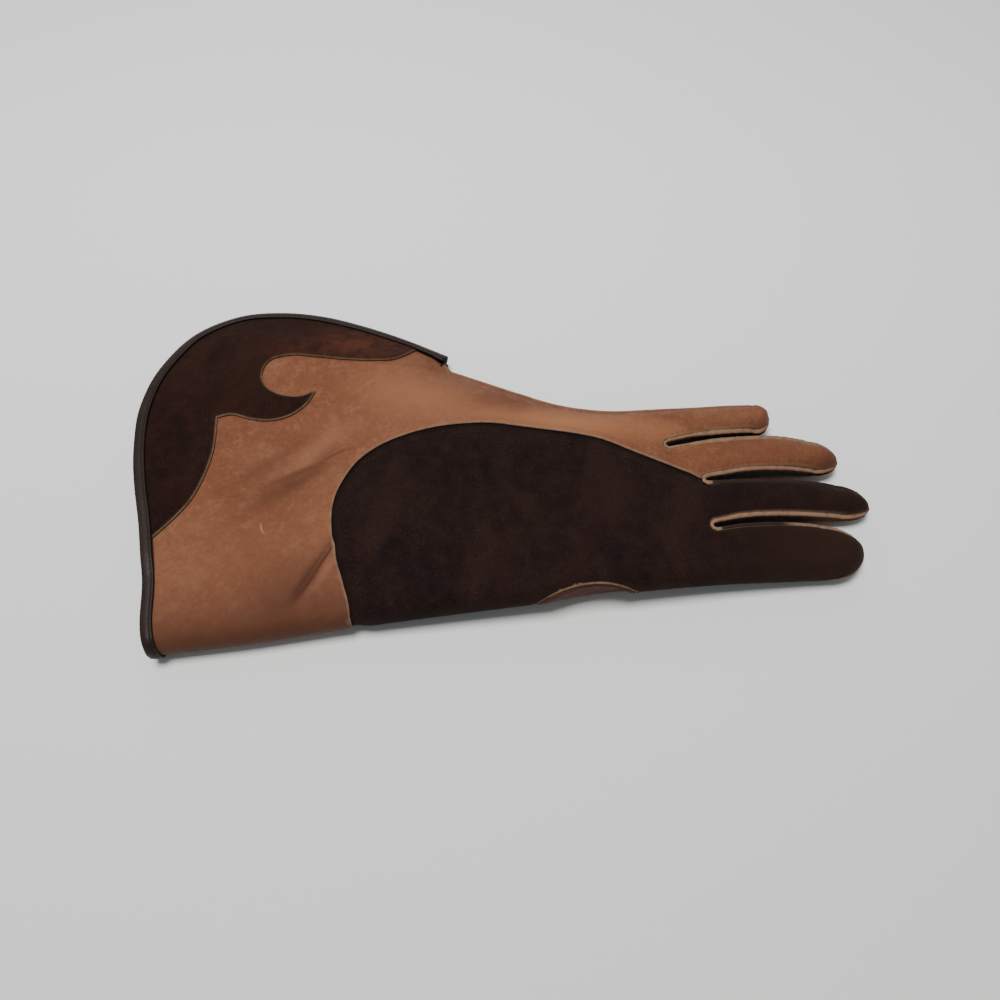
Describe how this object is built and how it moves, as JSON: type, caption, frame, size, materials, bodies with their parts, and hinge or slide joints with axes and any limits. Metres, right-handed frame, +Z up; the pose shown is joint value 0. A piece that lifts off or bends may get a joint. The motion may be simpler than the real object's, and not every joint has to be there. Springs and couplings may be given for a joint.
{
  "type": "falconry glove",
  "caption": "Left-hand leather falconry gauntlet with a flared cuff, suede hand patch and scroll, and a bound edge, lying flat.",
  "frame": {"origin": "middle of the glove's footprint, on the surface that it lies on", "axes": "+X from the cuff to the fingertips, +Y to the little finger's side, +Z up out of the back of the hand"},
  "size_m": [0.4098, 0.2283, 0.0256],
  "materials": {
    "tan_leather": "smooth matt tan leather",
    "dark_suede": "dark brown suede, napped side out",
    "binding_leather": "smooth dark brown leather, satin",
    "thumb_leather": "smooth reddish brown leather, satin"
  },
  "bodies": {
    "root": {"body_leather": "tan_leather", "hand_suede": "dark_suede", "cuff_overlay": "dark_suede", "cuff_binding": "binding_leather", "side_wall_ring_little": "tan_leather", "side_wall_middle_ring": "tan_leather", "side_wall_index_middle": "tan_leather", "thumb": "thumb_leather"}
  },
  "joints": []
}
